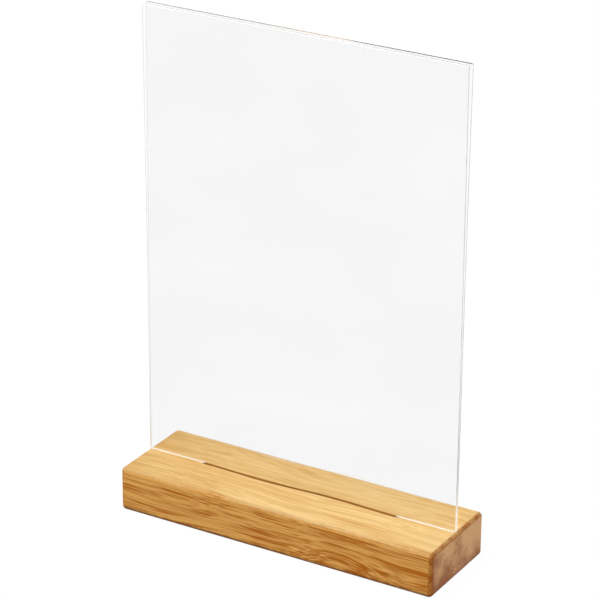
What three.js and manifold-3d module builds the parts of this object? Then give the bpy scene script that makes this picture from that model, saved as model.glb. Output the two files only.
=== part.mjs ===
// Table-top menu holder: two clear acrylic leaves stand upright in one slot along the top of a solid oak
// block, and the menu slips in between them from above. Each leaf is a T: its wide panel rests on the oak by
// a shoulder at either end, and the narrower tab below goes down into the slot. Either leaf lifts straight out.
// Millimetres, +Z up. X runs along the block, -Y is the front, the origin is the middle of the underside.
import * as THREE from "three";
import { RoundedBoxGeometry } from "three/addons/geometries/RoundedBoxGeometry.js";
import { mergeVertices } from "three/addons/utils/BufferGeometryUtils.js";
import Module from "manifold-3d";

// Acrylic leaves, as wide as an A5 sheet
const LEAF_WIDTH = 148;
const LEAF_THICKNESS = 0.7;
const LEAF_CORNER_RADIUS = 0.5;
const PANEL_HEIGHT = 200;
const SHOULDER_LENGTH = 27.5;
const TAB_DEPTH = 10;
const SHEET_OFFCUT = 5;

// Oak block
const BLOCK_DEPTH = 45;
const BLOCK_HEIGHT = 20;
const BLOCK_EDGE_RADIUS = 2;
const BLOCK_END_MARGIN = 1;

// Fits: the thin leaves stand close together at the oak and bow apart towards their top edge
const MENU_GAP_AT_OAK = 0.25;
const MENU_GAP_AT_TOP = 2.65;
const SHOULDER_CLEARANCE = 0.25;
const SLOT_SIDE_CLEARANCE = 0.25;
const SLOT_FLOOR_CLEARANCE = 1;

// Facets in a quarter turn of each rounding, and along the bow of a leaf
const BLOCK_EDGE_STEPS = 6;
const SLOT_END_STEPS = 6;
const LEAF_CORNER_STEPS = 3;
const LEAF_BOW_STEPS = 10;

// Sizes that follow from the ones above
const BLOCK_LENGTH = LEAF_WIDTH + 2 * BLOCK_END_MARGIN;
const TAB_LENGTH = LEAF_WIDTH - 2 * SHOULDER_LENGTH;
const SLOT_WIDTH = 2 * LEAF_THICKNESS + MENU_GAP_AT_OAK + 2 * SLOT_SIDE_CLEARANCE;
const SLOT_DEPTH = TAB_DEPTH + SLOT_FLOOR_CLEARANCE;
const LEAF_BOW = (MENU_GAP_AT_TOP - MENU_GAP_AT_OAK) / 2;

const QUARTER = Math.PI / 2;
const wasm = await Module();
wasm.setup();

// A closed geometry as a solid that can be cut
function toSolid(geometry) {
  const bare = geometry.clone();
  bare.deleteAttribute("normal");
  bare.deleteAttribute("uv");
  const merged = mergeVertices(bare);
  return new wasm.Manifold(
    new wasm.Mesh({
      numProp: 3,
      vertProperties: merged.getAttribute("position").array,
      triVerts: new Uint32Array(merged.index.array),
    }),
  );
}

// A cut solid as a geometry that can be drawn
function toGeometry(solid) {
  const mesh = solid.getMesh();
  const geometry = new THREE.BufferGeometry();
  geometry.setAttribute("position", new THREE.BufferAttribute(mesh.vertProperties, mesh.numProp));
  geometry.setIndex(new THREE.BufferAttribute(mesh.triVerts, 1));
  geometry.computeVertexNormals();
  return geometry;
}

// The slot in plan: straight for the length of the tabs, with the round ends that a router leaves
function slotOutline() {
  const outline = new THREE.Shape();
  outline.absarc(TAB_LENGTH / 2, 0, SLOT_WIDTH / 2, -QUARTER, QUARTER);
  outline.absarc(-TAB_LENGTH / 2, 0, SLOT_WIDTH / 2, QUARTER, 3 * QUARTER);
  outline.closePath();
  return outline;
}

// The block stands on its underside, every edge rounded over, and the slot is open at the top only
function oakBlock() {
  const block = new RoundedBoxGeometry(
    BLOCK_LENGTH,
    BLOCK_DEPTH,
    BLOCK_HEIGHT,
    BLOCK_EDGE_STEPS,
    BLOCK_EDGE_RADIUS,
  );
  block.translate(0, 0, BLOCK_HEIGHT / 2);
  const slot = new THREE.ExtrudeGeometry(slotOutline(), {
    depth: 2 * SLOT_DEPTH,
    bevelEnabled: false,
    curveSegments: 2 * SLOT_END_STEPS,
  });
  slot.translate(0, 0, BLOCK_HEIGHT - SLOT_DEPTH);
  return toGeometry(toSolid(block).subtract(toSolid(slot)));
}

// The T in front view, anticlockwise from the left shoulder's inner end, with y = 0 under the shoulders
function leafOutline() {
  const panelSide = LEAF_WIDTH / 2 - LEAF_CORNER_RADIUS;
  const panelTop = PANEL_HEIGHT - LEAF_CORNER_RADIUS;
  const tabSide = TAB_LENGTH / 2 - LEAF_CORNER_RADIUS;
  const tabFoot = LEAF_CORNER_RADIUS - TAB_DEPTH;
  const outline = new THREE.Shape();
  outline.moveTo(-TAB_LENGTH / 2, 0);
  outline.lineTo(-TAB_LENGTH / 2, tabFoot);
  outline.absarc(-tabSide, tabFoot, LEAF_CORNER_RADIUS, 2 * QUARTER, 3 * QUARTER);
  outline.absarc(tabSide, tabFoot, LEAF_CORNER_RADIUS, 3 * QUARTER, 4 * QUARTER);
  outline.lineTo(TAB_LENGTH / 2, 0);
  outline.absarc(panelSide, LEAF_CORNER_RADIUS, LEAF_CORNER_RADIUS, 3 * QUARTER, 4 * QUARTER);
  outline.absarc(panelSide, panelTop, LEAF_CORNER_RADIUS, 0, QUARTER);
  outline.absarc(-panelSide, panelTop, LEAF_CORNER_RADIUS, QUARTER, 2 * QUARTER);
  outline.absarc(-panelSide, LEAF_CORNER_RADIUS, LEAF_CORNER_RADIUS, 2 * QUARTER, 3 * QUARTER);
  outline.closePath();
  return outline;
}

// The sheet that a leaf is cut from, in side view: flat in the slot, then bowing outwards ever more. Its inner
// face starts on x = 0, its thickness goes towards -x, and it is larger than the leaf by the offcut all round
function sheetProfile() {
  const inner = [new THREE.Vector2(0, -TAB_DEPTH - SHEET_OFFCUT)];
  for (let step = 0; step <= LEAF_BOW_STEPS; step++) {
    const height = ((PANEL_HEIGHT + SHEET_OFFCUT) * step) / LEAF_BOW_STEPS;
    inner.push(new THREE.Vector2(-LEAF_BOW * (height / PANEL_HEIGHT) ** 2, height));
  }
  const outer = inner.map((point) => new THREE.Vector2(point.x - LEAF_THICKNESS, point.y));
  return new THREE.Shape([...inner, ...outer.reverse()]);
}

// One leaf: the T cut through the bowed sheet
function acrylicLeaf() {
  const sheetWidth = LEAF_WIDTH + 2 * SHEET_OFFCUT;
  const sheet = new THREE.ExtrudeGeometry(sheetProfile(), { depth: sheetWidth, bevelEnabled: false });
  sheet.translate(0, 0, -sheetWidth / 2);
  sheet.rotateX(QUARTER);
  sheet.rotateZ(QUARTER);
  const reach = 2 * (LEAF_BOW + LEAF_THICKNESS);
  const cut = new THREE.ExtrudeGeometry(leafOutline(), {
    depth: 2 * reach,
    bevelEnabled: false,
    curveSegments: LEAF_CORNER_STEPS,
  });
  cut.translate(0, 0, -reach);
  cut.rotateX(QUARTER);
  return toGeometry(toSolid(sheet).intersect(toSolid(cut)));
}

function mesh(name, geometry, material) {
  const piece = new THREE.Mesh(geometry, material);
  piece.name = name;
  return piece;
}

const oiledOak = new THREE.MeshStandardMaterial({ color: 0xc9954f, roughness: 0.5, metalness: 0 });
const clearAcrylic = new THREE.MeshStandardMaterial({
  color: 0xf4f6f6,
  roughness: 0.05,
  metalness: 0,
  transparent: true,
  opacity: 0.25,
});

const menuHolder = new THREE.Group();
menuHolder.add(mesh("oak_base", oakBlock(), oiledOak));

// Both leaves are the same piece: the back one is the front one turned half round
const leafTurns = { front_leaf: 0, back_leaf: Math.PI };
for (const [name, turn] of Object.entries(leafTurns)) {
  const leaf = mesh(name, acrylicLeaf(), clearAcrylic);
  leaf.position.y = -MENU_GAP_AT_OAK / 2;
  const side = new THREE.Group();
  side.position.z = BLOCK_HEIGHT + SHOULDER_CLEARANCE;
  side.rotation.z = turn;
  side.add(leaf);
  menuHolder.add(side);
}

export default menuHolder;
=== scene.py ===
"""Menu holder: two clear acrylic leaves standing in the slot of an oiled oak block.

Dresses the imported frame. Metres, +Z up, X along the block, -Y towards the viewer.
"""
import math

import bmesh
import bpy
from bpy.props import FloatProperty, FloatVectorProperty, PointerProperty, StringProperty
from mathutils import Matrix, Vector


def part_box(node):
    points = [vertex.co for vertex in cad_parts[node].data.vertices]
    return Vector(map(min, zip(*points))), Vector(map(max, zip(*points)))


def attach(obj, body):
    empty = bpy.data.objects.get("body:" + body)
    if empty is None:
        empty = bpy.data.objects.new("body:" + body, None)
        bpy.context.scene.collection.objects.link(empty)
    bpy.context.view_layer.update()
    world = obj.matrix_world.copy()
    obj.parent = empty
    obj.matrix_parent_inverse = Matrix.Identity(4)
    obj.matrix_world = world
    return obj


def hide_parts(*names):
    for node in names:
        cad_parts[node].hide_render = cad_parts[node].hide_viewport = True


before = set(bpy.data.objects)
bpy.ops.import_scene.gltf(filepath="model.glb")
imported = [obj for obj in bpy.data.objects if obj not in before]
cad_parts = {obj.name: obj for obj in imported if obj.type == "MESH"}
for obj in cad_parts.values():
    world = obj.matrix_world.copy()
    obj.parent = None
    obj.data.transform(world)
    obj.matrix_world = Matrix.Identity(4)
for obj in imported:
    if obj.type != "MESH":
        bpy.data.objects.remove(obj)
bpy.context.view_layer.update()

bl_info = {
    "name": "Menu Holder",
    "version": (1, 0, 0),
    "blender": (4, 5, 0),
    "location": "View3D > Sidebar > Menu Holder",
    "description": "Models an oak and acrylic menu holder on its packed frame",
    "category": "Object",
}

MM = 0.001
X_AXIS = Vector((1, 0, 0))
Z_AXIS = Vector((0, 0, 1))

# Slack for points on a plane and around the slot, and the narrow flat that is left on the slot's round ends
FLAT = 1e-6
SLOT_MARGIN = 0.05 * MM
SLOT_END_FLAT = 0.01 * MM

# Steps in each rounding and bend
BLOCK_EDGE_STEPS = 8
SLOT_END_STEPS = 8
SLOT_EASE_STEPS = 2
LEAF_CORNER_STEPS = 4
EDGE_EASE_STEPS = 3
BOW_STEPS = 20
SWAY_STEPS = 32
# The product of the sine and the cosine in the S peaks at 4 / sqrt(27), and this brings it to 1
SWAY_SCALE = math.sqrt(27) / 4

# Faces that turn by less than the first angle are one flat face, by more than the second meet in a cut edge,
# and by less than the third are shaded as one rounding
ONE_FACE = math.radians(1)
CUT_EDGE = math.radians(30)
ONE_ROUNDING = math.radians(35)
# Parts of a unit normal: below the first along Z a face looks down, below the second along Y it is a cut edge
# of a leaf, and below the third along Z that edge isn't the top one
DOWNWARD = -0.5
CUT_FACING = 0.95
TOP_FACING = 0.3

# The thin leaves carry light along them by a few hundred inner reflections
LIGHT_BOUNCES = 400
# Each lamp's direction, strength and spread in degrees
LAMPS = {
    "key": ((-0.38, -0.42, 0.82), 1.95, 50),
    "fill": ((0.9, -0.2, 0.35), 0.95, 60),
}
# Light of the floor and of the studio round it: what falls on the object, and what the eye sees
FLOOR_GLOW = {"To Min": 0.14, "To Max": 0.965}
STUDIO_GLOW = {"To Min": 0.4, "To Max": 1.0}
WHITE = (1, 1, 1, 1)
FLOOR_MATT = (0.05, 0.05, 0.05, 1)
FLOOR_SIZE = 40
FLOOR_DROP = 0.1 * MM

BLOCK_LOW, BLOCK_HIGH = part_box("oak_base")
LEAF_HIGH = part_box("front_leaf")[1]


class OakBlockSettings(bpy.types.PropertyGroup):
    """Sizes and colours of the oak block."""

    edge_radius: FloatProperty(
        name="Edge radius", description="Rounding of every outer edge of the block",
        default=2 * MM, unit="LENGTH")
    slot_straight: FloatProperty(
        name="Slot length", description="Length of the slot between its round ends",
        default=93 * MM, unit="LENGTH")
    slot_width: FloatProperty(
        name="Slot width", description="Width of the slot across the block",
        default=2.15 * MM, unit="LENGTH")
    slot_depth: FloatProperty(
        name="Slot depth", description="Depth of the slot below the top face",
        default=11 * MM, unit="LENGTH")
    slot_ease: FloatProperty(
        name="Slot ease", description="Sanded rounding along the mouth of the slot",
        default=0.2 * MM, unit="LENGTH")
    slot_sway: FloatProperty(
        name="Slot sway", description="Furthest that the shallow S of the slot lies off the middle",
        default=0.7 * MM, unit="LENGTH")
    # The top and side colours are partly the grain and partly painted light: paler on the well-lit top,
    # deeper on the sides in shade
    top_light: StringProperty(
        name="Top, light", description="Lighter wood of the top, sRGB hex", default="ECC888")
    top_dark: StringProperty(
        name="Top, dark", description="Darker streaks of the top, sRGB hex", default="D09E51")
    side_light: StringProperty(
        name="Sides, light", description="Lighter wood of the sides, sRGB hex", default="FCBE66")
    side_dark: StringProperty(
        name="Sides, dark", description="Darker streaks of the sides, sRGB hex", default="C46C10")
    end_light: StringProperty(
        name="Ends, light", description="Lighter end grain, sRGB hex", default="F4BC82")
    end_dark: StringProperty(
        name="Ends, dark", description="Darker end grain, sRGB hex", default="A55E26")
    # This colour darkens every rounded edge as oil soak, and more so at the right end as painted shade
    arris: StringProperty(
        name="Arris", description="Oil-soaked rounded edges, sRGB hex", default="9A520C")
    # This colour is painted shade: the darkening where the block meets the table
    foot_shade: StringProperty(
        name="Foot", description="Grime on the edges that meet the table, sRGB hex", default="743200")
    # This colour is painted shade on the walls of the narrow slot
    slot_shade: StringProperty(
        name="Routed", description="Walls of the slot, scorched by the router, sRGB hex", default="BA7A34")
    pore: StringProperty(
        name="Pore", description="Open pores of the spring wood, sRGB hex", default="7A4515")


class AcrylicLeafSettings(bpy.types.PropertyGroup):
    """Sizes and finish of the two acrylic leaves."""

    thickness: FloatProperty(
        name="Thickness", description="Thickness of the acrylic sheet",
        default=0.7 * MM, unit="LENGTH")
    panel_height: FloatProperty(
        name="Panel height", description="Height of a leaf above its shoulders",
        default=200 * MM, unit="LENGTH")
    shoulder_length: FloatProperty(
        name="Shoulder length", description="Length of the shoulder at either end of the tab",
        default=27.5 * MM, unit="LENGTH")
    tab_depth: FloatProperty(
        name="Tab depth", description="Depth of the tab below the shoulders",
        default=10 * MM, unit="LENGTH")
    shoulder_gap: FloatProperty(
        name="Shoulder gap", description="Space between the shoulders and the oak",
        default=0.25 * MM, unit="LENGTH")
    corner_radius: FloatProperty(
        name="Corner radius", description="Rounding of the lower corners of the panel and the tab",
        default=0.5 * MM, unit="LENGTH")
    edge_ease: FloatProperty(
        name="Edge ease", description="Rounding that takes the sharpness off the cut edges",
        default=0.07 * MM, unit="LENGTH")
    edge_roughness: FloatProperty(
        name="Edge roughness", description="Satin that the saw left on every cut edge but the top one",
        default=0.5)
    top_chamfer: FloatProperty(
        name="Top chamfer", description="Chamfer along the outer top edge, where fingers part the leaves",
        default=0.4 * MM, unit="LENGTH")
    menu_gap: FloatProperty(
        name="Menu gap", description="Space between the leaves at the shoulders",
        default=0.25 * MM, unit="LENGTH")
    menu_gap_at_top: FloatProperty(
        name="Menu gap at the top", description="Space between the leaves at their top edges",
        default=2.65 * MM, unit="LENGTH")
    tint: StringProperty(
        name="Tint", description="Colour of the clearest acrylic, sRGB hex", default="FCFCFC")
    # This second colour is a painted reflection: slow noise mottles it into the tint
    reflection_mottle: StringProperty(
        name="Haze", description="Colour of the acrylic where cleaning left a film, sRGB hex",
        default="F7F7F7")
    absorption: FloatProperty(
        name="Absorption", description="Light that the acrylic takes on the way through it, per metre",
        default=1.6)


class StageSettings(bpy.types.PropertyGroup):
    """Place and lens of the camera."""

    azimuth: FloatProperty(
        name="Azimuth", description="Turn of the camera from the front towards +X",
        default=math.radians(30.432), subtype="ANGLE")
    elevation: FloatProperty(
        name="Elevation", description="Height of the camera above level",
        default=math.radians(23.576), subtype="ANGLE")
    roll: FloatProperty(
        name="Roll", description="Turn of the camera about its own line of sight",
        default=math.radians(0.437), subtype="ANGLE")
    distance: FloatProperty(
        name="Distance", description="From the camera to the point it looks at",
        default=1154.7 * MM, unit="LENGTH")
    target: FloatVectorProperty(
        name="Target", description="Point that the camera looks at",
        default=(-0.38 * MM, -0.03 * MM, 106.18 * MM), subtype="TRANSLATION")
    lens: FloatProperty(
        name="Lens", description="Focal length of the camera, in millimetres", default=170.51)


def linear_colour(hex_code):
    """An sRGB hex colour as linear red, green, blue and alpha."""
    channels = [int(hex_code[i:i + 2], 16) / 255 for i in (0, 2, 4)]
    linear = [c / 12.92 if c <= 0.04045 else ((c + 0.055) / 1.055) ** 2.4 for c in channels]
    return (*linear, 1.0)


def add_node(tree, kind, inputs=None, **settings):
    """Adds a node, gives it its settings, sets or links its inputs, and returns its first output in use."""
    node = tree.nodes.new(kind)
    for name, value in settings.items():
        setattr(node, name, value)
    for key, value in (inputs or {}).items():
        in_use = [socket for socket in node.inputs if socket.enabled]
        socket = in_use[key] if isinstance(key, int) else next(s for s in in_use if s.name == key)
        if isinstance(value, bpy.types.NodeSocket):
            tree.links.new(value, socket)
        else:
            socket.default_value = value
    return next((socket for socket in node.outputs if socket.enabled), None)


def new_material(name):
    """An empty node material."""
    material = bpy.data.materials.new(name)
    material.use_nodes = True
    material.node_tree.nodes.clear()
    return material


# Blender's noise lies about this mean, and seldom further from it than this
NOISE_MEAN = 0.5
NOISE_SPREAD = 0.25

# Grain of the oak: length along X and width across it of each pattern, in millimetres, and its noise
# detail. The finest are drawn about twice as coarse as real oak, or the picture would average them away
GRAIN_PATTERNS = {
    "board": (60, 9, 2),
    "band": (60, 2.6, 2),
    "streak": (50, 0.7, 2),
    "fine": (30, 0.45, 1),
    "pore": (12, 0.4, 1),
    "cloud": (16, 11, 2),
    "speck": (3, 2.4, 2),
}
GRAIN_ROUGHNESS = 0.6
# For each kind of face, how dark its figure is on the whole and how much each pattern adds to it. The pattern
# that grows towards the table darkens the lower sides and ends as painted shade
FIGURES = {
    "top": (0.42, {"board": 1.2, "band": 1.4, "streak": 1.5, "fine": 1.2, "left": 0.3}),
    "side": (0.46, {"band": 2.1, "streak": 1.8, "line": 0.4, "fine": 2.3, "foot_shade": 0.2, "left": -0.3}),
    "end": (0.5, {"cloud": 2.6, "heart": 1.1, "foot_shade": 1.0, "streak": 1.4, "fine": 0.9}),
}
# Sway of the grain along the board: its length, its width and its reach, in millimetres
GRAIN_SWAY = (70, 25, 2.6)
# A burl at the front, which the grain lifts over, in millimetres
BURL_PLACE = (32.0, -24.0, 5.0)
BURL_SIZE = (32.0, 16.0, 14.0)
BURL_LIFT = 2.5
# How the block lay in the tree, in millimetres: the start of its board, the width of a growth ring and how
# far it strays, and where the pith lies along Y and Z. A ring is drawn in two halves, out and back
BOARD_START = (80.0, 23.0, 13.0)
RING_WIDTH = 2.6
RING_STRAY = 2.4
PITH = (105.0, -22.0)
HALF_RING = 0.5
# Limits of the oak's masks, and their levels where they don't go from 0 to 1. Those of line, soaked and pore
# are levels of noise, that of spring is a part of a ring, those of top, end, edge and right are parts of a
# unit normal, and those of the painted shade at the foot are millimetres above the table
MASKS = {
    "line": {"From Min": 0.44, "From Max": 0.68},
    "spring": {"From Min": 0.05, "From Max": 0.4},
    "top": {"From Min": 0.15, "From Max": 0.95},
    "end": {"From Min": 0.8, "From Max": 0.98},
    "edge": {"From Min": 0.999, "From Max": 0.94},
    "soaked": {"From Min": 0.3, "From Max": 0.7, "To Min": 0.5, "To Max": 1.3},
    "right": {"From Min": 0.1, "From Max": 0.4, "To Min": 0.25, "To Max": 0.7},
    "foot_shade_share": {"From Min": 1.6, "From Max": -1.2, "To Max": 0.85},
    "pore": {"From Min": 0.58, "From Max": 0.7},
    "pore_share": {"To Min": 0.2, "To Max": 0.22},
    "roughness": {"To Min": 0.45, "To Max": 0.65},
}
# How far the limit of the pale top wanders, in parts of a unit normal, and that of the painted shade at the
# foot, in millimetres
TOP_WANDER = 1.2
FOOT_SHADE_WANDER = 3.0
# Relief of the streaks against that of the pores, and the depth of a pore
STREAK_RELIEF = 0.4
PORE_DEPTH = 0.1 * MM


def oak_point(tree, straight):
    """The place in the grain, in millimetres: the grain sways along the board and lifts over the burl."""
    length, width, reach = GRAIN_SWAY
    slow = add_node(tree, "ShaderNodeVectorMath",
                    {0: straight, 1: (1 / length, 1 / width, 1 / width)}, operation="MULTIPLY")
    sway = add_node(tree, "ShaderNodeTexNoise", {"Vector": slow, "Scale": 1.0, "Detail": 1.0})
    sway = add_node(tree, "ShaderNodeVectorMath",
                    {0: sway.node.outputs["Color"], 1: (NOISE_MEAN,) * 3}, operation="SUBTRACT")
    furthest = reach / NOISE_SPREAD
    swayed = add_node(tree, "ShaderNodeVectorMath", {0: sway, 1: (0, furthest, furthest), 2: straight},
                      operation="MULTIPLY_ADD")
    burl = add_node(tree, "ShaderNodeMapping",
                    {"Vector": straight, "Location": BURL_PLACE, "Scale": BURL_SIZE}, vector_type="TEXTURE")
    burl = add_node(tree, "ShaderNodeTexGradient", {"Vector": burl}, gradient_type="SPHERICAL")
    lift = add_node(tree, "ShaderNodeCombineXYZ", {"Z": burl.node.outputs["Fac"]})
    return add_node(tree, "ShaderNodeVectorMath", {0: lift, 1: (0, 0, -BURL_LIFT), 2: swayed},
                    operation="MULTIPLY_ADD")


def oak_grain(tree, straight):
    """The patterns of the grain, and a painted shade that grows towards the table, by name, each from 0 to 1
    and dark at 1.
    """
    point = oak_point(tree, straight)
    in_board = add_node(tree, "ShaderNodeVectorMath", {0: point, 1: BOARD_START}, operation="ADD")
    grain = {}
    for name, (length, width, detail) in GRAIN_PATTERNS.items():
        scaled = add_node(tree, "ShaderNodeVectorMath",
                          {0: in_board, 1: (1 / length, 1 / width, 1 / width)}, operation="MULTIPLY")
        grain[name] = add_node(tree, "ShaderNodeTexNoise",
                               {"Vector": scaled, "Scale": 1.0, "Detail": float(detail),
                                "Roughness": GRAIN_ROUGHNESS})
    grain["line"] = add_node(tree, "ShaderNodeMapRange", {"Value": grain["streak"], **MASKS["line"]},
                             interpolation_type="SMOOTHSTEP")

    # Growth rings about the pith, each with a porous band of spring wood, and three slow changes of tone, the
    # last of which, darker towards the table, is painted shade
    place = add_node(tree, "ShaderNodeSeparateXYZ", {0: point}).node
    across = add_node(tree, "ShaderNodeMath", {0: place.outputs["Y"], 1: PITH[0]}, operation="SUBTRACT")
    above = add_node(tree, "ShaderNodeMath", {0: place.outputs["Z"], 1: PITH[1]}, operation="SUBTRACT")
    section = add_node(tree, "ShaderNodeCombineXYZ", {0: across, 1: above})
    radius = add_node(tree, "ShaderNodeVectorMath", {0: section}, operation="LENGTH")
    radius = add_node(tree, "ShaderNodeMath",
                      {0: grain["band"], 1: RING_STRAY, 2: radius.node.outputs["Value"]},
                      operation="MULTIPLY_ADD")
    rings = add_node(tree, "ShaderNodeMath", {0: radius, 1: RING_WIDTH}, operation="DIVIDE")
    spring = add_node(tree, "ShaderNodeMath", {0: rings, 1: HALF_RING}, operation="PINGPONG")
    grain["spring"] = add_node(tree, "ShaderNodeMapRange", {"Value": spring, **MASKS["spring"]},
                               interpolation_type="SMOOTHSTEP")
    for axis, name in enumerate(("left", "heart", "foot_shade")):
        grain[name] = add_node(tree, "ShaderNodeMapRange",
                               {"Value": place.outputs[axis], "From Min": BLOCK_HIGH[axis] / MM,
                                "From Max": BLOCK_LOW[axis] / MM})
    return grain


def oiled_oak(settings):
    """Solid oak, sanded and oiled. The eye sees a pale top with faint straight streaks, deeper sides crossed
    by fine dark lines that bend round a burl, and clouded end grain with dark arrises, all under a satin
    oil. The pale top and the deeper sides are partly the grain and partly painted light, and painted shade
    darkens the lower wood, the edges that meet the table, the slot walls and the arrises of the right end."""
    material = new_material("oiled_oak")
    tree = material.node_tree
    coordinates = add_node(tree, "ShaderNodeTexCoord").node
    straight = add_node(tree, "ShaderNodeVectorMath",
                        {0: coordinates.outputs["Object"], "Scale": 1 / MM}, operation="SCALE")
    grain = oak_grain(tree, straight)

    woods = {}
    for face, (darkness, weights) in FIGURES.items():
        figure = darkness - NOISE_MEAN * sum(weights.values())
        for name, weight in weights.items():
            figure = add_node(tree, "ShaderNodeMath", {0: grain[name], 1: weight, 2: figure},
                              operation="MULTIPLY_ADD")
        figure = add_node(tree, "ShaderNodeClamp", {0: figure})
        woods[face] = add_node(tree, "ShaderNodeMix",
                               {"Factor": figure, "A": linear_colour(getattr(settings, face + "_light")),
                                "B": linear_colour(getattr(settings, face + "_dark"))}, data_type="RGBA")

    # Pale on top, and the deeper sides begin on the rounded edge along a limit that wanders. The paler top
    # and deeper sides are partly the grain and partly painted light
    facing = add_node(tree, "ShaderNodeSeparateXYZ", {0: coordinates.outputs["Normal"]}).node
    wander = add_node(tree, "ShaderNodeMath",
                      {0: grain["band"], 1: -TOP_WANDER, 2: TOP_WANDER * NOISE_MEAN},
                      operation="MULTIPLY_ADD")
    upward = add_node(tree, "ShaderNodeMath", {0: facing.outputs["Z"], 1: wander}, operation="ADD")
    is_top = add_node(tree, "ShaderNodeMapRange", {"Value": upward, **MASKS["top"]},
                      interpolation_type="SMOOTHSTEP")
    wood = add_node(tree, "ShaderNodeMix", {"Factor": is_top, "A": woods["side"], "B": woods["top"]},
                    data_type="RGBA")

    # End grain, and rounded edges that drink the oil and go dark; they go darker at the right end, which is
    # painted shade of the end turned from the key light
    endward = add_node(tree, "ShaderNodeMath", {0: facing.outputs["X"]}, operation="ABSOLUTE")
    is_end = add_node(tree, "ShaderNodeMapRange", {"Value": endward, **MASKS["end"]},
                      interpolation_type="SMOOTHSTEP")
    wood = add_node(tree, "ShaderNodeMix", {"Factor": is_end, "A": wood, "B": woods["end"]},
                    data_type="RGBA")
    square = add_node(tree, "ShaderNodeVectorMath", {0: coordinates.outputs["Normal"]},
                      operation="ABSOLUTE")
    square = add_node(tree, "ShaderNodeSeparateXYZ", {0: square}).node
    flattest = add_node(tree, "ShaderNodeMath", {0: square.outputs["Y"], 1: square.outputs["Z"]},
                        operation="MAXIMUM")
    flattest = add_node(tree, "ShaderNodeMath", {0: flattest, 1: endward}, operation="MAXIMUM")
    edge = add_node(tree, "ShaderNodeMapRange", {"Value": flattest, **MASKS["edge"]})
    soaked = add_node(tree, "ShaderNodeMapRange", {"Value": grain["speck"], **MASKS["soaked"]})
    edge = add_node(tree, "ShaderNodeMath", {0: edge, 1: soaked}, operation="MULTIPLY")
    edge_share = add_node(tree, "ShaderNodeMapRange", {"Value": facing.outputs["X"], **MASKS["right"]})
    edge_share = add_node(tree, "ShaderNodeMath", {0: edge, 1: edge_share}, operation="MULTIPLY")
    wood = add_node(tree, "ShaderNodeMix",
                    {"Factor": edge_share, "A": wood, "B": linear_colour(settings.arris)}, data_type="RGBA")

    # Painted shade on the edges that meet the table, open pores in the spring wood, and painted shade on the
    # walls of the slot
    height = add_node(tree, "ShaderNodeSeparateXYZ", {0: straight}).node.outputs["Z"]
    height = add_node(tree, "ShaderNodeMath", {0: grain["speck"], 1: -FOOT_SHADE_WANDER, 2: height},
                      operation="MULTIPLY_ADD")
    foot_shade_share = add_node(tree, "ShaderNodeMapRange", {"Value": height, **MASKS["foot_shade_share"]},
                     interpolation_type="SMOOTHSTEP")
    wood = add_node(tree, "ShaderNodeMix",
                    {"Factor": foot_shade_share, "A": wood, "B": linear_colour(settings.foot_shade)}, data_type="RGBA")
    pores = add_node(tree, "ShaderNodeMapRange", {"Value": grain["pore"], **MASKS["pore"]},
                     interpolation_type="SMOOTHSTEP")
    pores = add_node(tree, "ShaderNodeMath", {0: pores, 1: grain["spring"]}, operation="MULTIPLY")
    pore_share = add_node(tree, "ShaderNodeMapRange", {"Value": is_top, **MASKS["pore_share"]})
    pore_share = add_node(tree, "ShaderNodeMath", {0: pores, 1: pore_share}, operation="MULTIPLY")
    wood = add_node(tree, "ShaderNodeMix",
                    {"Factor": pore_share, "A": wood, "B": linear_colour(settings.pore)}, data_type="RGBA")
    # Painted shade on the faces inside the slot
    in_slot = add_node(tree, "ShaderNodeAttribute", attribute_name="slot_shade").node.outputs["Fac"]
    wood = add_node(tree, "ShaderNodeMix",
                    {"Factor": in_slot, "A": wood, "B": linear_colour(settings.slot_shade)}, data_type="RGBA")

    roughness = add_node(tree, "ShaderNodeMapRange", {"Value": pores, **MASKS["roughness"]})
    relief = add_node(tree, "ShaderNodeMath", {0: grain["streak"], 1: STREAK_RELIEF}, operation="MULTIPLY")
    relief = add_node(tree, "ShaderNodeMath", {0: relief, 1: pores}, operation="SUBTRACT")
    bump = add_node(tree, "ShaderNodeBump", {"Strength": 0.25, "Distance": PORE_DEPTH, "Height": relief})
    surface = add_node(tree, "ShaderNodeBsdfPrincipled",
                       {"Base Color": wood, "Roughness": roughness, "IOR": 1.5, "Specular IOR Level": 0.15,
                        "Normal": bump})
    add_node(tree, "ShaderNodeOutputMaterial", {"Surface": surface})
    return material


# Length, depth and height of the slow grey mottle of the acrylic, a painted reflection, in millimetres
MOTTLE_SIZE = (90, 90, 40)
BLACK = (0, 0, 0, 1)


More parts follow.
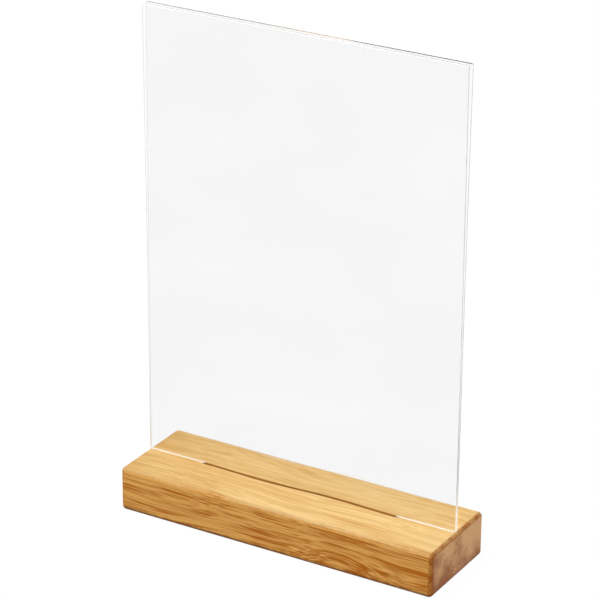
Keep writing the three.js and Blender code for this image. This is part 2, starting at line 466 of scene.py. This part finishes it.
def clear_acrylic(settings):
    """Cast acrylic sheet with polished faces, satin sawn edges and a polished top edge. The eye sees a faint
    grey pane with a slow grey mottle, which is painted reflection, soft lines where the sawn edges carry
    light, and a dark line along the top edge, which looks down into the sheet."""
    material = new_material("clear_acrylic")
    tree = material.node_tree
    place = add_node(tree, "ShaderNodeTexCoord").node.outputs["Object"]
    mottle = add_node(tree, "ShaderNodeVectorMath", {0: place, 1: [1 / (size * MM) for size in MOTTLE_SIZE]},
                     operation="MULTIPLY")
    mottle = add_node(tree, "ShaderNodeTexNoise", {"Vector": mottle, "Scale": 1.0, "Detail": 2.0})
    mottled_tint = add_node(tree, "ShaderNodeMix",
                    {"Factor": mottle, "A": linear_colour(settings.tint), "B": linear_colour(settings.reflection_mottle)},
                    data_type="RGBA")
    sawn = add_node(tree, "ShaderNodeAttribute", attribute_name="sawn").node.outputs["Fac"]
    satin = add_node(tree, "ShaderNodeMath", {0: sawn, 1: settings.edge_roughness}, operation="MULTIPLY")
    surface = add_node(tree, "ShaderNodeBsdfPrincipled",
                       {"Base Color": mottled_tint, "Roughness": satin, "IOR": 1.49, "Transmission Weight": 1.0})
    inside = add_node(tree, "ShaderNodeVolumeAbsorption", {"Color": BLACK, "Density": settings.absorption})
    add_node(tree, "ShaderNodeOutputMaterial", {"Surface": surface, "Volume": inside})
    return material


def slot_sway(x, block):
    """How far the slot lies off the middle at x: one sine wave, which dies away into straight ends."""
    turn = math.pi * x / block.slot_straight
    if abs(turn) > math.pi / 2:
        return 0.0
    return block.slot_sway * SWAY_SCALE * math.sin(2 * turn) * math.cos(turn)


def sway_stations(block):
    """Where the S of the slot is cut so that it can bend, from end to end along X."""
    return [block.slot_straight * (step / SWAY_STEPS - 0.5) for step in range(SWAY_STEPS + 1)]


def cut_across(places, axis):
    """Cuts the piece in edit mode by planes square to an axis."""
    for place in places:
        bpy.ops.mesh.select_all(action="SELECT")
        bpy.ops.mesh.bisect(plane_co=axis * place, plane_no=axis)


def bend(piece, offset):
    """Moves the piece's points, in edit mode, along Y by offset(point)."""
    mesh = bmesh.from_edit_mesh(piece.data)
    for point in mesh.verts:
        point.co.y += offset(point.co)
    bmesh.update_edit_mesh(piece.data)


def start_cube(name, low, high):
    """A cube primitive filling the box between two corners, with its place in its mesh."""
    bpy.ops.object.select_all(action="DESELECT")
    bpy.ops.mesh.primitive_cube_add(size=1, location=(low + high) / 2, scale=high - low)
    bpy.ops.object.transform_apply(location=True, rotation=True, scale=True)
    piece = bpy.context.object
    piece.name = name
    piece.data.name = name
    return piece


def select_edges(piece, wanted):
    """Selects, in edit mode, the edges whose two ends satisfy wanted(first, second), and no others."""
    mesh = bmesh.from_edit_mesh(piece.data)
    bpy.ops.mesh.select_mode(type="EDGE")
    bpy.ops.mesh.select_all(action="DESELECT")
    for edge in mesh.edges:
        edge.select_set(wanted(edge.verts[0].co, edge.verts[1].co))
    mesh.select_flush_mode()
    bmesh.update_edit_mesh(piece.data)


def select_faces(piece, wanted):
    """Selects, in edit mode, the faces for which wanted(centre, normal) holds, and no others."""
    mesh = bmesh.from_edit_mesh(piece.data)
    bpy.ops.mesh.select_mode(type="FACE")
    bpy.ops.mesh.select_all(action="DESELECT")
    for face in mesh.faces:
        face.select_set(wanted(face.calc_center_median(), face.normal))
    mesh.select_flush_mode()
    bmesh.update_edit_mesh(piece.data)


def apply_modifier(piece, kind, **settings):
    """Adds a modifier to the active piece and applies it."""
    bpy.ops.object.modifier_add(type=kind)
    modifier = piece.modifiers[-1]
    for name, value in settings.items():
        setattr(modifier, name, value)
    bpy.ops.object.modifier_apply(modifier=modifier.name)


class MENUHOLDER_OT_oak_block(bpy.types.Operator):
    """Models the oak block with its rounded edges and the slot along its top"""

    bl_idname = "menuholder.oak_block"
    bl_label = "Oak Block"

    def execute(self, context):
        settings = context.scene.menu_holder_block
        half_slot = Vector((settings.slot_straight + settings.slot_width, settings.slot_width, 0)) / 2
        top = BLOCK_HIGH.z
        cutter = start_cube("slot_cutter",
                            Vector((-half_slot.x, -half_slot.y, top - settings.slot_depth)),
                            Vector((half_slot.x, half_slot.y, top + settings.slot_depth)))
        bpy.ops.object.mode_set(mode="EDIT")
        select_edges(cutter, lambda first, second: abs(first.z - second.z) > FLAT)
        bpy.ops.mesh.bevel(offset=half_slot.y - SLOT_END_FLAT, segments=SLOT_END_STEPS, affect="EDGES")
        cut_across(sway_stations(settings), X_AXIS)
        bend(cutter, lambda point: slot_sway(point.x, settings))
        bpy.ops.object.mode_set(mode="OBJECT")

        block = start_cube("oak_block", BLOCK_LOW, BLOCK_HIGH)
        bpy.ops.object.mode_set(mode="EDIT")
        bpy.ops.mesh.select_all(action="SELECT")
        bpy.ops.mesh.bevel(offset=settings.edge_radius, segments=BLOCK_EDGE_STEPS, affect="EDGES")
        bpy.ops.object.mode_set(mode="OBJECT")
        apply_modifier(block, "BOOLEAN", object=cutter, operation="DIFFERENCE", solver="EXACT")
        bpy.data.objects.remove(cutter)

        def in_slot_plan(point):
            off_middle = abs(point.y - slot_sway(point.x, settings))
            return abs(point.x) < half_slot.x + SLOT_MARGIN and off_middle < half_slot.y + SLOT_MARGIN

        def on_slot_mouth(first, second):
            return all(abs(point.z - top) < FLAT and in_slot_plan(point) for point in (first, second))

        bpy.ops.object.mode_set(mode="EDIT")
        select_edges(block, on_slot_mouth)
        bpy.ops.mesh.bevel(offset=settings.slot_ease, segments=SLOT_EASE_STEPS, affect="EDGES")
        bpy.ops.object.mode_set(mode="OBJECT")
        bpy.ops.object.shade_smooth_by_angle(angle=ONE_ROUNDING)
        apply_modifier(block, "WEIGHTED_NORMAL", keep_sharp=True)
        # Marks the faces inside the slot, which the oak darkens with painted shade
        slot_shade = block.data.attributes.new("slot_shade", "FLOAT", "FACE")
        for face in block.data.polygons:
            corners = [block.data.vertices[index].co for index in face.vertices]
            slot_shade.data[face.index].value = float(all(in_slot_plan(corner) for corner in corners)
                                                  and face.center.z > BLOCK_LOW.z + FLAT)

        block.data.materials.append(oiled_oak(settings))
        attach(block, "base")
        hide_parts("oak_base")
        return {"FINISHED"}


class MENUHOLDER_OT_acrylic_leaves(bpy.types.Operator):
    """Models one T-shaped acrylic leaf, and copies it turned half round for the back"""

    bl_idname = "menuholder.acrylic_leaves"
    bl_label = "Acrylic Leaves"

    def execute(self, context):
        settings = context.scene.menu_holder_leaves
        block = context.scene.menu_holder_block
        half_width = LEAF_HIGH.x
        half_tab = half_width - settings.shoulder_length
        bow = (settings.menu_gap_at_top - settings.menu_gap) / 2
        leaf = start_cube("acrylic_leaf_front",
                          Vector((-half_width, -settings.thickness, 0)),
                          Vector((half_width, 0, settings.panel_height)))
        bpy.ops.object.mode_set(mode="EDIT")
        cut_across((-half_tab, half_tab), X_AXIS)
        select_faces(leaf, lambda centre, normal: normal.z < DOWNWARD and abs(centre.x) < half_tab)
        bpy.ops.mesh.extrude_region_move(TRANSFORM_OT_translate={"value": (0, 0, -settings.tab_depth)})
        bpy.ops.mesh.select_all(action="SELECT")
        bpy.ops.mesh.dissolve_limited(angle_limit=ONE_FACE)

        def low_corner(first, second):
            inside = abs(abs(first.x) - half_tab) < FLAT and abs(first.z) < FLAT
            return abs(first.y - second.y) > FLAT and first.z < FLAT and not inside

        select_edges(leaf, low_corner)
        bpy.ops.mesh.bevel(offset=settings.corner_radius, segments=LEAF_CORNER_STEPS, affect="EDGES")
        bpy.ops.mesh.select_all(action="SELECT")
        bpy.ops.mesh.bisect(plane_co=(0, -settings.thickness, settings.panel_height - settings.top_chamfer),
                            plane_no=(0, -1, 1), use_fill=True, clear_outer=True)
        bpy.ops.mesh.select_all(action="DESELECT")
        bpy.ops.mesh.edges_select_sharp(sharpness=CUT_EDGE)
        bpy.ops.mesh.bevel(offset=settings.edge_ease, segments=EDGE_EASE_STEPS, affect="EDGES")
        rows = [settings.panel_height * step / BOW_STEPS for step in range(BOW_STEPS)]
        cut_across(rows, Z_AXIS)
        cut_across(sway_stations(block), X_AXIS)

        def bent(point):
            rise = max(point.z, 0) / settings.panel_height
            return slot_sway(point.x, block) * (1 - rise) - bow * rise ** 2

        bend(leaf, bent)
        bpy.ops.object.mode_set(mode="OBJECT")

        leaf.location = (0, -settings.menu_gap / 2, BLOCK_HIGH.z + settings.shoulder_gap)
        bpy.ops.object.transform_apply(location=True, rotation=True, scale=True)
        leaf.data.materials.append(clear_acrylic(settings))
        sawn = leaf.data.attributes.new("sawn", "FLOAT", "FACE")
        for face in leaf.data.polygons:
            is_cut = abs(face.normal.y) < CUT_FACING
            sawn.data[face.index].value = float(is_cut and face.normal.z < TOP_FACING)

        bpy.ops.object.duplicate(linked=False)
        back_leaf = context.object
        back_leaf.name = "acrylic_leaf_back"
        back_leaf.data.name = "acrylic_leaf_back"
        back_leaf.rotation_euler.z = math.pi
        bpy.ops.object.transform_apply(location=True, rotation=True, scale=True)

        for piece, body in ((leaf, "front_leaf"), (back_leaf, "back_leaf")):
            piece.visible_shadow = False
            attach(piece, body)
            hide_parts(body)
        return {"FINISHED"}


class MENUHOLDER_OT_stage(bpy.types.Operator):
    """Sets up the floor, the studio light and the camera"""

    bl_idname = "menuholder.stage"
    bl_label = "Stage"

    def execute(self, context):
        settings = context.scene.menu_holder_stage
        scene = context.scene
        scene.view_settings.view_transform = "Standard"
        scene.cycles.max_bounces = LIGHT_BOUNCES
        scene.cycles.glossy_bounces = LIGHT_BOUNCES
        scene.cycles.transmission_bounces = LIGHT_BOUNCES

        bpy.ops.object.select_all(action="DESELECT")
        bpy.ops.mesh.primitive_plane_add(size=FLOOR_SIZE, location=(0, 0, -FLOOR_DROP))
        floor = context.object
        floor.name = "studio_floor"
        floor.data.materials.append(self.white_paper())

        self.light_world(scene)
        for name, (towards, strength, spread) in LAMPS.items():
            self.add_lamp(scene, name, towards, strength, spread)

        back = Vector((math.sin(settings.azimuth) * math.cos(settings.elevation),
                       -math.cos(settings.azimuth) * math.cos(settings.elevation),
                       math.sin(settings.elevation)))
        lens = bpy.data.cameras.new("photo_camera")
        lens.lens = settings.lens
        camera = bpy.data.objects.new("photo_camera", lens)
        scene.collection.objects.link(camera)
        turn = (-back).to_track_quat("-Z", "Y").to_matrix() @ Matrix.Rotation(settings.roll, 3, "Z")
        camera.matrix_world = (Matrix.Translation(Vector(settings.target) + back * settings.distance)
                               @ turn.to_4x4())
        scene.camera = camera
        return {"FINISHED"}

    def seen_directly(self, tree):
        """1 for rays that show the background as it is: camera, glossy and transmission rays."""
        path = add_node(tree, "ShaderNodeLightPath").node
        either = add_node(tree, "ShaderNodeMath",
                          {0: path.outputs["Is Camera Ray"], 1: path.outputs["Is Glossy Ray"]},
                          operation="MAXIMUM")
        return add_node(tree, "ShaderNodeMath", {0: either, 1: path.outputs["Is Transmission Ray"]},
                        operation="MAXIMUM")

    def white_paper(self):
        """Seamless white paper: nearly white to the eye, with a share that takes the shadow."""
        material = new_material("white_paper")
        tree = material.node_tree
        level = add_node(tree, "ShaderNodeMapRange", {"Value": self.seen_directly(tree), **FLOOR_GLOW})
        glow = add_node(tree, "ShaderNodeEmission", {"Color": WHITE, "Strength": level})
        matt = add_node(tree, "ShaderNodeBsdfDiffuse", {"Color": FLOOR_MATT})
        both = add_node(tree, "ShaderNodeAddShader", {0: glow, 1: matt})
        add_node(tree, "ShaderNodeOutputMaterial", {"Surface": both})
        return material

    def light_world(self, scene):
        """A white studio to the eye, and a softer light from all round on the object."""
        scene.world = bpy.data.worlds.new("studio")
        scene.world.use_nodes = True
        tree = scene.world.node_tree
        tree.nodes.clear()
        level = add_node(tree, "ShaderNodeMapRange", {"Value": self.seen_directly(tree), **STUDIO_GLOW})
        sky = add_node(tree, "ShaderNodeBackground", {"Color": WHITE, "Strength": level})
        add_node(tree, "ShaderNodeOutputWorld", {"Surface": sky})

    def add_lamp(self, scene, name, towards, strength, spread):
        """A soft distant lamp in the direction given, with its spread in degrees."""
        lamp = bpy.data.lights.new(name, "SUN")
        lamp.energy = strength
        lamp.angle = math.radians(spread)
        lamp_object = bpy.data.objects.new(name, lamp)
        lamp_object.rotation_euler = Vector(towards).to_track_quat("Z", "Y").to_euler()
        scene.collection.objects.link(lamp_object)


class MENUHOLDER_PT_panel(bpy.types.Panel):
    """Lists the settings and the steps that model the menu holder"""

    bl_label = "Menu Holder"
    bl_idname = "MENUHOLDER_PT_panel"
    bl_space_type = "VIEW_3D"
    bl_region_type = "UI"
    bl_category = "Menu Holder"

    def draw(self, context):
        for settings_name, operator in (("menu_holder_block", "menuholder.oak_block"),
                                        ("menu_holder_leaves", "menuholder.acrylic_leaves"),
                                        ("menu_holder_stage", "menuholder.stage")):
            box = self.layout.box()
            settings = getattr(context.scene, settings_name)
            for name in settings.bl_rna.properties.keys():
                if name not in ("rna_type", "name"):
                    box.prop(settings, name)
            box.operator(operator)


SETTINGS = {
    "menu_holder_block": OakBlockSettings,
    "menu_holder_leaves": AcrylicLeafSettings,
    "menu_holder_stage": StageSettings,
}
CLASSES = (
    *SETTINGS.values(),
    MENUHOLDER_OT_oak_block,
    MENUHOLDER_OT_acrylic_leaves,
    MENUHOLDER_OT_stage,
    MENUHOLDER_PT_panel,
)


def register():
    for cls in CLASSES:
        bpy.utils.register_class(cls)
    for name, cls in SETTINGS.items():
        setattr(bpy.types.Scene, name, PointerProperty(type=cls))


def unregister():
    for name in SETTINGS:
        delattr(bpy.types.Scene, name)
    for cls in reversed(CLASSES):
        bpy.utils.unregister_class(cls)


def main():
    register()
    bpy.ops.menuholder.stage()
    bpy.ops.menuholder.oak_block()
    bpy.ops.menuholder.acrylic_leaves()


if __name__ == "__main__":
    main()
